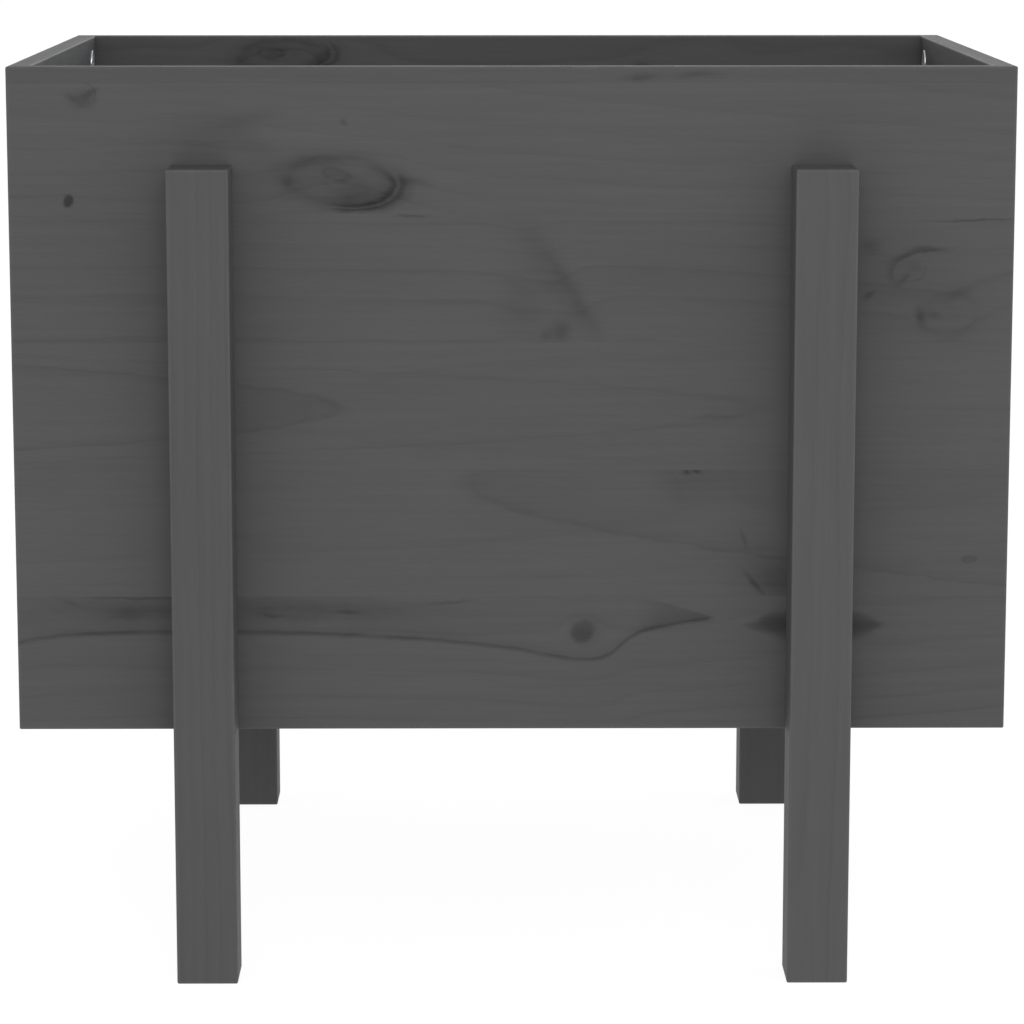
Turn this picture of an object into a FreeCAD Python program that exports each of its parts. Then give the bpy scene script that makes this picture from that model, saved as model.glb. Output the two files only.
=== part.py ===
"""Raised planter on legs.

A box of edge-glued pine panels with a slatted floor is held up by four square
legs, which are screwed to the outside of its front and back panels.  Cam fittings
let into the side panels draw them against the front and back panels.

Units are millimetres.  +Z is up, +X runs along the box, +Y runs from its front
to its back, and the origin is on the ground under the middle of the planter.
"""
import FreeCAD, Part
import os

import Sketcher
from FreeCAD import Placement, Rotation, Vector

# Driving dimensions: alias, size, what it is.
SIZES = [
    ("overall_width", 620, "box, end to end"),
    ("overall_depth", 500, "outside of the front legs to outside of the rear legs"),
    ("overall_height", 570, "ground to rim"),
    ("panel_height", 415, "all four panels"),
    ("panel_thickness", 14, "all four panels"),
    ("edge_round", 1, "softened edge of panels, slats and cleats"),
    ("leg_size", 38, "square section"),
    ("leg_length", 510, "ground to the leg's top"),
    ("leg_inset", 100, "end of the box to the leg's outer side"),
    ("leg_edge_round", 1.2, "softened edge of the legs"),
    ("leg_screw_lowest", 60, "panel's lower edge to the lowest leg screw"),
    ("leg_screw_pitch", 130, "from one leg screw to the next"),
    ("leg_screw_diameter", 4.5, "shank"),
    ("leg_screw_head", 9, "countersunk head"),
    ("leg_screw_length", 45, "head's face to tip"),
    ("small_screw_diameter", 3.5, "shank of the cleat and slat screws"),
    ("small_screw_head", 7, "countersunk head of the cleat and slat screws"),
    ("cleat_screw_length", 30, "head's face to tip"),
    ("cleat_screw_pitch", 130, "from one cleat screw to the next"),
    ("slat_screw_length", 25, "head's face to tip"),
    ("slat_screw_spread", 56, "between the two screws at a slat's end"),
    ("recess_span_ratio", 0.55, "cross recess, arm to arm, by the head's or rim's diameter"),
    ("recess_width_ratio", 0.11, "cross recess, width of an arm, likewise"),
    ("recess_depth_ratio", 0.17, "cross recess, depth, likewise"),
    ("cleat_size", 20, "square section of the battens under the floor"),
    ("cleat_lift", 2, "panel's lower edge to the cleat"),
    ("cleat_end_gap", 4, "cleat's end to the side panel"),
    ("slat_width", 90, "floor slat"),
    ("slat_thickness", 12, "floor slat"),
    ("slat_gap", 8, "drainage gap between slats"),
    ("slat_end_gap", 2, "slat's end to the front or back panel"),
    ("cam_diameter", 15, "body of a cam fitting"),
    ("cam_depth", 11.5, "cam's body below the side panel's inner face"),
    ("cam_rim_diameter", 18, "rim that covers the edge of the cam's bore"),
    ("cam_rim_thickness", 1, "rim above the side panel's inner face"),
    ("cam_rim_round", 0.6, "rounded edge of the rim"),
    ("cam_distance", 26, "side panel's end to the middle of the cam"),
    ("upper_cam_height", 397, "panel's lower edge to the middle of the cam"),
    ("lower_cam_height", 70, "panel's lower edge to the middle of the cam"),
    ("bolt_diameter", 7, "shank of a cam's bolt, and its bore"),
    ("bolt_reach", 24, "side panel's end to the bolt's head in the cam"),
    ("bolt_shank_length", 16, "thick part of the bolt in the side panel's end"),
    ("bolt_neck_diameter", 4, "between the shank and the head"),
    ("bolt_head_diameter", 6, "end that the cam pulls on"),
    ("bolt_head_length", 2.5, "end that the cam pulls on"),
    ("bolt_thread_diameter", 5, "in the front or back panel"),
    ("bolt_thread_length", 9, "in the front or back panel"),
]

LEG_SCREWS = 3
CLEAT_SCREWS = 5
SLATS = 6

# Expressions over the size sheet that several sub-parts share.
BOX_BOTTOM = "(sizes.overall_height - sizes.panel_height)"
INNER_HALF_WIDTH = "(sizes.overall_width / 2 - sizes.panel_thickness)"
INNER_HALF_DEPTH = "(sizes.overall_depth / 2 - sizes.leg_size - sizes.panel_thickness)"
LEG_X = "(sizes.overall_width / 2 - sizes.leg_inset - sizes.leg_size / 2)"
CLEAT_BOTTOM = f"({BOX_BOTTOM} + sizes.cleat_lift)"
SLAT_BOTTOM = f"({CLEAT_BOTTOM} + sizes.cleat_size)"
SLAT_PITCH = "(sizes.slat_width + sizes.slat_gap)"
SIDE_PANEL_X = f"({INNER_HALF_WIDTH} + sizes.panel_thickness / 2)"
CAM_HEIGHTS = ("sizes.upper_cam_height", "sizes.lower_cam_height")

UP = Vector(0, 0, 1)


def make_sheet(doc):
    """The size sheet: one row for each driving dimension."""
    sheet = doc.addObject("Spreadsheet::Sheet", "sizes")
    for row, (alias, size, meaning) in enumerate(SIZES, start=1):
        sheet.set(f"A{row}", alias)
        sheet.set(f"B{row}", str(size))
        sheet.set(f"C{row}", meaning)
        sheet.setAlias(f"B{row}", alias)
    doc.recompute()
    return sheet


def measure(doc, expression):
    """The value of an expression over the size sheet, in millimetres."""
    return float(doc.sizes.evalExpression(expression.replace("sizes.", "")))


# Sketches


def add_sketch(body, name, plane_role, offset=None):
    """A sketch on one of the body's own origin planes, or parallel to it."""
    planes = [item for item in body.Origin.OriginFeatures if item.Role == plane_role]
    sketch = body.newObject("Sketcher::SketchObject", name)
    sketch.AttachmentSupport = [(planes[0], "")]
    sketch.MapMode = "FlatFace"
    if offset:
        sketch.setExpression("AttachmentOffset.Base.z", offset)
    return sketch


def hold(sketch, geometry, point, x, y):
    """Places a point by its two distances from the sketch's origin."""
    for kind, axis, expression in (("DistanceX", -2, x), ("DistanceY", -1, y)):
        if expression == "0":
            sketch.addConstraint(Sketcher.Constraint("PointOnObject", geometry, point, axis))
            continue
        distance = measure(sketch.Document, expression)
        constraint = Sketcher.Constraint(kind, -1, 1, geometry, point, distance)
        index = sketch.addConstraint(constraint)
        sketch.setExpression(f"Constraints[{index}]", expression)


def draw_outline(sketch, corners):
    """A closed outline of straight lines through corners given as expressions."""
    doc = sketch.Document
    points = [Vector(measure(doc, x), measure(doc, y), 0) for x, y in corners]
    lines = []
    for start, end in zip(points, points[1:] + points[:1]):
        lines.append(sketch.addGeometry(Part.LineSegment(start, end)))
    for line, following in zip(lines, lines[1:] + lines[:1]):
        sketch.addConstraint(Sketcher.Constraint("Coincident", line, 2, following, 1))
    for line, (x, y) in zip(lines, corners):
        hold(sketch, line, 1, x, y)


def draw_centred_rectangle(sketch, width, length):
    """A rectangle about the sketch's origin."""
    right, left = f"{width} / 2", f"-{width} / 2"
    top, bottom = f"{length} / 2", f"-{length} / 2"
    draw_outline(sketch, [(left, bottom), (right, bottom), (right, top), (left, top)])


def draw_circles(sketch, centres, diameter):
    """Circles of one diameter at centres given as expressions."""
    doc = sketch.Document
    radius = measure(doc, diameter) / 2
    for x, y in centres:
        centre = Vector(measure(doc, x), measure(doc, y), 0)
        circle = sketch.addGeometry(Part.Circle(centre, UP, radius))
        hold(sketch, circle, 3, x, y)
        size = sketch.addConstraint(Sketcher.Constraint("Diameter", circle, 2 * radius))
        sketch.setExpression(f"Constraints[{size}]", diameter)


# Features


def add_pad(body, sketch, length, side="One side", reverse=False):
    pad = body.newObject("PartDesign::Pad", "Pad")
    pad.Profile = sketch
    pad.SideType = side
    pad.Reversed = reverse
    pad.setExpression("Length", length)
    body.Document.recompute()
    return pad


def check_cut(body, volume_before, name):
    if body.Shape.Volume >= volume_before - 1e-3:
        raise RuntimeError(f"{body.Label}: {name} removes nothing")


def cut_pocket(body, sketch, depth=None, reverse=False):
    """A pocket to a depth, or right through both ways where no depth is given."""
    before = body.Shape.Volume
    pocket = body.newObject("PartDesign::Pocket", "Pocket")
    pocket.Profile = sketch
    pocket.Reversed = reverse
    if depth:
        pocket.setExpression("Length", depth)
    else:
        pocket.Type = "ThroughAll"
        pocket.SideType = "Symmetric"
    body.Document.recompute()
    check_cut(body, before, sketch.Label)


def cut_countersunk_holes(body, sketch, diameter, head, reverse=False):
    """Through holes whose mouths take a 90 degree countersunk head."""
    before = body.Shape.Volume
    body.Document.recompute()
    hole = body.newObject("PartDesign::Hole", "Hole")
    hole.Profile = sketch
    body.Document.recompute()
    hole.Reversed = reverse
    hole.Threaded = False
    hole.DepthType = "ThroughAll"
    hole.setExpression("Diameter", diameter)
    hole.HoleCutType = "Countersink"
    hole.HoleCutCountersinkAngle = 90
    hole.setExpression("HoleCutDiameter", head)
    body.Document.recompute()
    check_cut(body, before, sketch.Label)


def round_edges(body, radius, wanted=None):
    """Rounds the edges of the body so far, or those that wanted() picks."""
    base = body.Tip
    names = []
    for number, edge in enumerate(base.Shape.Edges, start=1):
        if wanted is None or wanted(edge):
            names.append(f"Edge{number}")
    fillet = body.newObject("PartDesign::Fillet", "Fillet")
    fillet.Base = (base, names)
    fillet.setExpression("Radius", radius)
    body.Document.recompute()


def runs_along(axis):
    """Picks straight edges parallel to an axis."""
    def wanted(edge):
        start, end = edge.Vertexes[0].Point, edge.Vertexes[-1].Point
        return abs((end - start).normalize().dot(axis)) > 0.999
    return wanted


def place(body, turn, x="0", y="0", z="0"):
    """Turns a body about the vertical and puts its own origin at x, y, z."""
    body.Placement = Placement(Vector(), Rotation(UP, turn))
    for axis, expression in (("x", x), ("y", y), ("z", z)):
        if expression != "0":
            body.setExpression(f"Placement.Base.{axis}", expression)


# Wooden parts.  Each is drawn lying along its own X, with the face that looks
# into the box (or against the panel) on its +Y side, and then turned into place.


def leg_screw_heights():
    """Leg screws' heights above the panel's lower edge."""
    heights = []
    for number in range(LEG_SCREWS):
        heights.append(f"sizes.leg_screw_lowest + {number} * sizes.leg_screw_pitch")
    return heights


def cleat_screw_offsets():
    """Cleat screws' places along the cleat, about its middle."""
    middle = (CLEAT_SCREWS - 1) // 2
    offsets = []
    for number in range(CLEAT_SCREWS):
        step = number - middle
        offsets.append(f"{step} * sizes.cleat_screw_pitch" if step else "0")
    return offsets


def slat_offsets():
    """Slat middles along the box, about its middle."""
    return [f"{number - (SLATS - 1) / 2} * {SLAT_PITCH}" for number in range(SLATS)]


def slat_screw_offsets():
    """Slat screws' places along the cleats, about the box's middle."""
    offsets = []
    for offset in slat_offsets():
        offsets.append(f"{offset} - sizes.slat_screw_spread / 2")
        offsets.append(f"{offset} + sizes.slat_screw_spread / 2")
    return offsets


def make_panel(doc, name, half_length, rounded_edges=None):
    """A glued pine board."""
    body = doc.addObject("PartDesign::Body", name)
    outline = add_sketch(body, f"{name}_outline", "XZ_Plane")
    top = "sizes.panel_height"
    left, right = f"-{half_length}", half_length
    draw_outline(outline, [(left, "0"), (right, "0"), (right, top), (left, top)])
    add_pad(body, outline, "sizes.panel_thickness", side="Symmetric")
    round_edges(body, "sizes.edge_round", rounded_edges)
    return body


def make_wide_panel(doc, name, turn, y):
    """Front or back panel: it takes two legs' screws, a cleat's screws and the cams' bolts."""
    body = make_panel(doc, name, "(sizes.overall_width / 2)")
    inner_face = "-sizes.panel_thickness / 2"

    leg_holes = add_sketch(body, f"{name}_leg_screws", "XZ_Plane", inner_face)
    places = [(f"{sign}{LEG_X}", height) for sign in ("-", "") for height in leg_screw_heights()]
    draw_circles(leg_holes, places, "sizes.leg_screw_diameter")
    cut_countersunk_holes(
        body, leg_holes, "sizes.leg_screw_diameter", "sizes.leg_screw_head", reverse=True)

    cleat_pilots = add_sketch(body, f"{name}_cleat_pilots", "XZ_Plane", inner_face)
    height = "sizes.cleat_lift + sizes.cleat_size / 2"
    places = [(offset, height) for offset in cleat_screw_offsets()]
    draw_circles(cleat_pilots, places, "sizes.small_screw_diameter")
    cut_pocket(body, cleat_pilots, "sizes.cleat_screw_length - sizes.cleat_size", reverse=True)

    bolt_pilots = add_sketch(body, f"{name}_bolt_pilots", "XZ_Plane", inner_face)
    places = [(f"{sign}{SIDE_PANEL_X}", height) for sign in ("-", "") for height in CAM_HEIGHTS]
    draw_circles(bolt_pilots, places, "sizes.bolt_thread_diameter")
    cut_pocket(body, bolt_pilots, "sizes.bolt_thread_length", reverse=True)
    place(body, turn, y=y, z=BOX_BOTTOM)
    return body


def make_side_panel(doc, name, turn, x):
    """Side panel: its square-cut ends butt against the front and back panels."""
    body = make_panel(doc, name, INNER_HALF_DEPTH, runs_along(Vector(1, 0, 0)))

    cam_bores = add_sketch(body, f"{name}_cam_bores", "XZ_Plane", "-sizes.panel_thickness / 2")
    along = f"({INNER_HALF_DEPTH} - sizes.cam_distance)"
    places = [(f"{sign}{along}", height) for sign in ("-", "") for height in CAM_HEIGHTS]
    draw_circles(cam_bores, places, "sizes.cam_diameter")
    cut_pocket(body, cam_bores, "sizes.cam_depth", reverse=True)

    for end, sign in (("near", "-"), ("far", "")):
        bolt_bores = add_sketch(body, f"{name}_{end}_bolt_bores", "YZ_Plane", f"{sign}{INNER_HALF_DEPTH}")
        draw_circles(bolt_bores, [("0", height) for height in CAM_HEIGHTS], "sizes.bolt_diameter")
        cut_pocket(body, bolt_bores, "sizes.cam_distance - sizes.cam_diameter / 3", reverse=sign == "-")
    place(body, turn, x=x, z=BOX_BOTTOM)
    return body


def make_leg(doc, name, turn, x, y):
    """Square leg from the ground to below the rim, with pilot holes on its inner face."""
    body = doc.addObject("PartDesign::Body", name)
    section = add_sketch(body, f"{name}_section", "XY_Plane")
    half = "sizes.leg_size / 2"
    depth = "-sizes.leg_size"
    corners = [(f"-{half}", depth), (half, depth), (half, "0"), (f"-{half}", "0")]
    draw_outline(section, corners)
    add_pad(body, section, "sizes.leg_length")
    round_edges(body, "sizes.leg_edge_round")

    pilots = add_sketch(body, f"{name}_pilots", "XZ_Plane")
    places = [("0", f"{BOX_BOTTOM} + {height}") for height in leg_screw_heights()]
    draw_circles(pilots, places, "sizes.leg_screw_diameter")
    cut_pocket(body, pilots, "sizes.leg_screw_length - sizes.panel_thickness", reverse=True)
    place(body, turn, x, y)
    return body


def make_cleat(doc, name, turn, y):
    """Batten along the foot of a wide panel, which carries the slats' ends."""
    body = doc.addObject("PartDesign::Body", name)
    section = add_sketch(body, f"{name}_section", "YZ_Plane")
    size = "sizes.cleat_size"
    draw_outline(section, [("0", "0"), (size, "0"), (size, size), ("0", size)])
    add_pad(body, section, f"2 * ({INNER_HALF_WIDTH} - sizes.cleat_end_gap)", side="Symmetric")
    round_edges(body, "sizes.edge_round")

    screw_holes = add_sketch(body, f"{name}_screw_holes", "XZ_Plane", f"-{size}")
    places = [(offset, f"{size} / 2") for offset in cleat_screw_offsets()]
    draw_circles(screw_holes, places, "sizes.small_screw_diameter")
    cut_countersunk_holes(
        body, screw_holes, "sizes.small_screw_diameter", "sizes.small_screw_head", reverse=True)

    slat_pilots = add_sketch(body, f"{name}_slat_pilots", "XY_Plane", size)
    places = [(offset, f"{size} / 2") for offset in slat_screw_offsets()]
    draw_circles(slat_pilots, places, "sizes.small_screw_diameter")
    cut_pocket(body, slat_pilots, "sizes.slat_screw_length - sizes.slat_thickness")
    place(body, turn, y=y, z=CLEAT_BOTTOM)
    return body


def make_slat(doc, name, x):
    """Floor slat from the front cleat to the back one, screwed down at both ends."""
    body = doc.addObject("PartDesign::Body", name)
    outline = add_sketch(body, f"{name}_outline", "XY_Plane")
    draw_centred_rectangle(outline, "sizes.slat_width", f"2 * ({INNER_HALF_DEPTH} - sizes.slat_end_gap)")
    add_pad(body, outline, "sizes.slat_thickness")
    round_edges(body, "sizes.edge_round")

    screw_holes = add_sketch(body, f"{name}_screw_holes", "XY_Plane", "sizes.slat_thickness")
    across = "sizes.slat_screw_spread / 2"
    along = f"({INNER_HALF_DEPTH} - sizes.cleat_size / 2)"
    places = [(f"{side}{across}", f"{end}{along}") for side in ("-", "") for end in ("-", "")]
    draw_circles(screw_holes, places, "sizes.small_screw_diameter")
    cut_countersunk_holes(body, screw_holes, "sizes.small_screw_diameter", "sizes.small_screw_head")
    place(body, 0, x=x, z=SLAT_BOTTOM)
    return body


# Metal fittings.  Each is drawn once, head up, and its copies are set in their places.


def cut_recess(body, name, head, top):
    """Cross recess in the face of a screw's head or of a cam."""
    span = f"{head} * sizes.recess_span_ratio"
    width = f"{head} * sizes.recess_width_ratio"
    for arm, (across, along) in enumerate(((span, width), (width, span)), start=1):
        sketch = add_sketch(body, f"{name}_recess_{arm}", "XY_Plane", top)
        draw_centred_rectangle(sketch, across, along)
        cut_pocket(body, sketch, f"{head} * sizes.recess_depth_ratio")


def start_turned_body(doc, name, corners):
    """A body turned about its own Z from half an outline: distance from the axis, height."""
    body = doc.addObject("PartDesign::Body", name)
    profile = add_sketch(body, f"{name}_profile", "XZ_Plane")
    draw_outline(profile, corners)
    turned = body.newObject("PartDesign::Revolution", "Revolution")
    turned.Profile = profile
    turned.ReferenceAxis = (profile, ["V_Axis"])
    turned.Angle = 360
    doc.recompute()
    return body


def make_countersunk_screw(doc, name, diameter, head, length):
    """Wood screw with the face of its head at its own origin; its point is as long as it is thick."""
    radius = f"{diameter} / 2"
    corners = [
        ("0", "0"), (f"{head} / 2", "0"), (radius, f"-({head} - {diameter}) / 2"),
        (radius, f"-({length} - {diameter})"), ("0", f"-{length}"),
    ]
    body = start_turned_body(doc, name, corners)
    cut_recess(body, name, head, "0")
    return body


def make_cam(doc, name):
    """Cam with the side panel's inner face at its own origin, bored through along its own Y."""
    top, radius, foot = "sizes.cam_rim_thickness", "sizes.cam_diameter / 2", "-sizes.cam_depth"
    rim = "sizes.cam_rim_diameter / 2"
    corners = [("0", top), (rim, top), (rim, "0"), (radius, "0"), (radius, foot), ("0", foot)]
    body = start_turned_body(doc, name, corners)
    face_height = measure(doc, top)

    def is_face_edge(edge):
        return edge.BoundBox.ZMin > face_height - 1e-6 and edge.BoundBox.XLength > 0

    round_edges(body, "sizes.cam_rim_round", is_face_edge)
    cut_recess(body, name, "sizes.cam_rim_diameter", top)
    bore = add_sketch(body, f"{name}_bore", "XZ_Plane")
    draw_circles(bore, [("0", "-sizes.panel_thickness / 2")], "sizes.bolt_diameter")
    cut_pocket(body, bore)
    return body


def make_cam_bolt(doc, name):
    """Bolt whose thread sits in a wide panel and whose head, uppermost, sits in a cam."""
    radii = {}
    for part in ("bolt", "bolt_neck", "bolt_head", "bolt_thread"):
        radii[part] = f"sizes.{part}_diameter / 2"
    reach, shoulder, tip = "sizes.bolt_reach", "sizes.bolt_shank_length", "-sizes.bolt_thread_length"
    under_head = "sizes.bolt_reach - sizes.bolt_head_length"
    corners = [
        ("0", reach), (radii["bolt_head"], reach), (radii["bolt_head"], under_head),
        (radii["bolt_neck"], under_head), (radii["bolt_neck"], shoulder), (radii["bolt"], shoulder),
        (radii["bolt"], "0"), (radii["bolt_thread"], "0"), (radii["bolt_thread"], tip), ("0", tip),
    ]
    return start_turned_body(doc, name, corners)


def make_group(doc, name, pattern, seats):
    """Copies of one fitting as one group of separate solids; a seat is (point, direction)."""
    copies = []
    for point, direction in seats:
        copy = pattern.Shape.copy()
        copy.Placement = Placement(point, Rotation(-UP, direction))
        copies.append(copy)
    group = doc.addObject("Part::Feature", name)
    group.Shape = Part.makeCompound(copies)
    group.Placement = Placement()
    return group


# Assembly


def make_panels(doc):
    wide_y = f"({INNER_HALF_DEPTH} + sizes.panel_thickness / 2)"
    return [
        make_wide_panel(doc, "front_panel", 0, f"-{wide_y}"),
        make_wide_panel(doc, "back_panel", 180, wide_y),
        make_side_panel(doc, "left_panel", -90, f"-{SIDE_PANEL_X}"),
        make_side_panel(doc, "right_panel", 90, SIDE_PANEL_X),
    ]


def make_legs(doc):
    panel_face = f"({INNER_HALF_DEPTH} + sizes.panel_thickness)"
    legs = []
    for end, turn, y in (("front", 0, f"-{panel_face}"), ("rear", 180, panel_face)):
        for side, x in (("left", f"-{LEG_X}"), ("right", LEG_X)):
            legs.append(make_leg(doc, f"{end}_{side}_leg", turn, x, y))
    return legs


def make_floor(doc):
    parts = [
        make_cleat(doc, "front_cleat", 0, f"-{INNER_HALF_DEPTH}"),
        make_cleat(doc, "back_cleat", 180, INNER_HALF_DEPTH),
    ]
    for number, offset in enumerate(slat_offsets(), start=1):
        parts.append(make_slat(doc, f"bottom_slat_{number}", offset))
    return parts


def leg_screw_seats(doc):
    """Heads flush with the inside of the wide panels."""
    face_y = measure(doc, INNER_HALF_DEPTH)
    leg_x = measure(doc, LEG_X)
    seats = []
    for end in (-1, 1):
        for side in (-1, 1):
            for height in leg_screw_heights():
                z = measure(doc, f"{BOX_BOTTOM} + {height}")
                seats.append((Vector(side * leg_x, end * face_y, z), Vector(0, end, 0)))
    return seats


def cleat_screw_seats(doc):
    """Heads flush with the inner faces of the cleats."""
    face_y = measure(doc, f"{INNER_HALF_DEPTH} - sizes.cleat_size")
    z = measure(doc, f"{CLEAT_BOTTOM} + sizes.cleat_size / 2")
    seats = []
    for end in (-1, 1):
        for offset in cleat_screw_offsets():
            seats.append((Vector(measure(doc, offset), end * face_y, z), Vector(0, end, 0)))
    return seats


def slat_screw_seats(doc):
    """Heads flush with the tops of the slats, over the middle of each cleat."""
    y = measure(doc, f"{INNER_HALF_DEPTH} - sizes.cleat_size / 2")
    z = measure(doc, f"{SLAT_BOTTOM} + sizes.slat_thickness")
    seats = []
    for offset in slat_screw_offsets():
        for end in (-1, 1):
            seats.append((Vector(measure(doc, offset), end * y, z), -UP))
    return seats


def corner_seats(doc, x, y, direction):
    """Seats in all four corners at both heights, from those of the rear right corner."""
    seats = []
    for height in CAM_HEIGHTS:
        z = measure(doc, f"{BOX_BOTTOM} + {height}")
        for side in (-1, 1):
            for end in (-1, 1):
                point = Vector(side * measure(doc, x), end * measure(doc, y), z)
                seats.append((point, Vector(side * direction.x, end * direction.y, 0)))
    return seats


def make_fittings(doc):
    """The groups of screws, cams and bolts, each copied from one pattern."""
    small = ("sizes.small_screw_diameter", "sizes.small_screw_head")
    large = ("sizes.leg_screw_diameter", "sizes.leg_screw_head")
    screws = [
        ("leg_screws", large, "sizes.leg_screw_length", leg_screw_seats),
        ("cleat_screws", small, "sizes.cleat_screw_length", cleat_screw_seats),
        ("slat_screws", small, "sizes.slat_screw_length", slat_screw_seats),
    ]
    groups = []
    for name, (diameter, head), length, seats in screws:
        pattern = make_countersunk_screw(doc, f"{name}_pattern", diameter, head, length)
        groups.append(make_group(doc, name, pattern, seats(doc)))

    cam_y = f"{INNER_HALF_DEPTH} - sizes.cam_distance"
    cams = corner_seats(doc, INNER_HALF_WIDTH, cam_y, Vector(1, 0, 0))
    groups.append(make_group(doc, "corner_cams", make_cam(doc, "cam_pattern"), cams))
    bolts = corner_seats(doc, SIDE_PANEL_X, INNER_HALF_DEPTH, Vector(0, 1, 0))
    groups.append(make_group(doc, "cam_bolts", make_cam_bolt(doc, "cam_bolt_pattern"), bolts))
    return groups


def check_document(doc):
    """Stops on any feature that failed without raising."""
    for item in doc.Objects:
        if "Invalid" in item.State or "Error" in item.State:
            raise RuntimeError(f"{item.Label} failed: {item.State}")


def write_parts(parts):
    os.makedirs("parts", exist_ok=True)
    for part in parts:
        shape = part.Shape
        if shape.isNull() or not shape.isValid() or not shape.Solids:
            raise RuntimeError(f"{part.Label} has no valid solid")
    for part in parts:
        part.Shape.exportStep(f"parts/{part.Label}.step")


def main():
    doc = FreeCAD.newDocument("raised_planter")
    make_sheet(doc)
    parts = make_panels(doc) + make_legs(doc) + make_floor(doc) + make_fittings(doc)
    doc.recompute()
    check_document(doc)
    write_parts(parts)
    for part in parts:
        box = part.Shape.BoundBox
        low = f"{box.XMin:.1f} {box.YMin:.1f} {box.ZMin:.1f}"
        high = f"{box.XMax:.1f} {box.YMax:.1f} {box.ZMax:.1f}"
        print(f"{part.Label}: {len(part.Shape.Solids)} solid(s), {low} to {high}")


main()
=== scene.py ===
"""Looks of the raised planter: stained pine boards, zinc-plated hardware, a plain white studio.

The shapes are the CAD nodes.  This script gives each board a wood of its own, worked out
from growth rings, staves and knots in the board's own coordinates, and sets the stage.
"""
import math
import random
from collections import namedtuple

import bmesh
import bpy
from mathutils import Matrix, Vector


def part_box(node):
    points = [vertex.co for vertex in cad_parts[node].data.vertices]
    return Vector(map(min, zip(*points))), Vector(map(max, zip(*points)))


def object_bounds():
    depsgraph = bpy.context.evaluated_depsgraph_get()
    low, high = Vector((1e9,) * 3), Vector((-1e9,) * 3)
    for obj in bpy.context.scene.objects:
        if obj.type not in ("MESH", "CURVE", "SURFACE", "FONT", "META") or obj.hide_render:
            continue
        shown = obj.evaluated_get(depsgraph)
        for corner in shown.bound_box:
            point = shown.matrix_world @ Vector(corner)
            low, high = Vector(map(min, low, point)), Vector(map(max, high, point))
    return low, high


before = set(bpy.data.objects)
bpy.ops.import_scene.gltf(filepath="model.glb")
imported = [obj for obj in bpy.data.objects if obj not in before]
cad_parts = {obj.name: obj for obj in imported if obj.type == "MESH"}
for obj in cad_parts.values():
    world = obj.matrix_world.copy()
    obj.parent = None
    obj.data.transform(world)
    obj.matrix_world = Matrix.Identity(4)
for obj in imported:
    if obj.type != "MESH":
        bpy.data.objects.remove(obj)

CAD_LOW, CAD_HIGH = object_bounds()
MM = 0.001


# ---------------------------------------------------------------------------
# Shader arithmetic
# ---------------------------------------------------------------------------


class Field:
    """A number that varies over a surface: a shader node's output, with arithmetic."""

    def __init__(self, tree, socket):
        self.tree = tree
        self.socket = socket

    def __add__(self, other):
        return calculate("ADD", self, other)

    def __sub__(self, other):
        return calculate("SUBTRACT", self, other)

    def __rsub__(self, other):
        return calculate("SUBTRACT", other, self)

    def __mul__(self, other):
        return calculate("MULTIPLY", self, other)

    def __truediv__(self, other):
        return calculate("DIVIDE", self, other)

    __radd__ = __add__
    __rmul__ = __mul__

    def between(self, low, high):
        """0 at low, 1 at high, and a smooth step between; low may be above high."""
        node = self.tree.nodes.new("ShaderNodeMapRange")
        node.interpolation_type = "SMOOTHSTEP"
        plug(self, node.inputs["Value"])
        node.inputs["From Min"].default_value = min(low, high)
        node.inputs["From Max"].default_value = max(low, high)
        node.inputs["To Min"].default_value = 0.0 if low < high else 1.0
        node.inputs["To Max"].default_value = 1.0 if low < high else 0.0
        return Field(self.tree, node.outputs["Result"])


def plug(item, slot):
    """Feeds a node's input from a field, or sets it to a number or a vector."""
    if isinstance(item, Field):
        item.tree.links.new(item.socket, slot)
    else:
        slot.default_value = item


def calculate(operation, *items, clamp=False):
    tree = next(item.tree for item in items if isinstance(item, Field))
    node = tree.nodes.new("ShaderNodeMath")
    node.operation = operation
    node.use_clamp = clamp
    for item, slot in zip(items, node.inputs):
        plug(item, slot)
    return Field(tree, node.outputs[0])


def vector(x, y, z=0.0):
    tree = next(item.tree for item in (x, y, z) if isinstance(item, Field))
    node = tree.nodes.new("ShaderNodeCombineXYZ")
    for item, slot in zip((x, y, z), node.inputs):
        plug(item, slot)
    return Field(tree, node.outputs[0])


def split(field):
    """A vector field's three components."""
    node = field.tree.nodes.new("ShaderNodeSeparateXYZ")
    plug(field, node.inputs[0])
    return [Field(field.tree, output) for output in node.outputs]


def noise(point, scale, detail=2.0, roughness=0.5):
    """Smooth noise about zero, within about -0.5 and 0.5."""
    node = point.tree.nodes.new("ShaderNodeTexNoise")
    plug(point, node.inputs["Vector"])
    node.inputs["Scale"].default_value = scale
    node.inputs["Detail"].default_value = detail
    node.inputs["Roughness"].default_value = roughness
    return Field(point.tree, node.outputs["Fac"]) - 0.5


def ramp(field, stops, constant=False):
    """A colour ramp's output socket; stops are (place, grey) or (place, colour)."""
    node = field.tree.nodes.new("ShaderNodeValToRGB")
    plug(field, node.inputs["Fac"])
    band = node.color_ramp
    band.interpolation = "CONSTANT" if constant else "LINEAR"
    while len(band.elements) > 1:
        band.elements.remove(band.elements[-1])
    for number, (place, value) in enumerate(stops):
        element = band.elements[0] if number == 0 else band.elements.new(place)
        element.position = place
        colour = value if isinstance(value, tuple) else (value, value, value)
        element.color = (*colour, 1.0)
    return node.outputs["Color"]


def profile(field, stops):
    """A curve of straight stretches through stops, as a field."""
    return Field(field.tree, ramp(field, stops))


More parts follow.
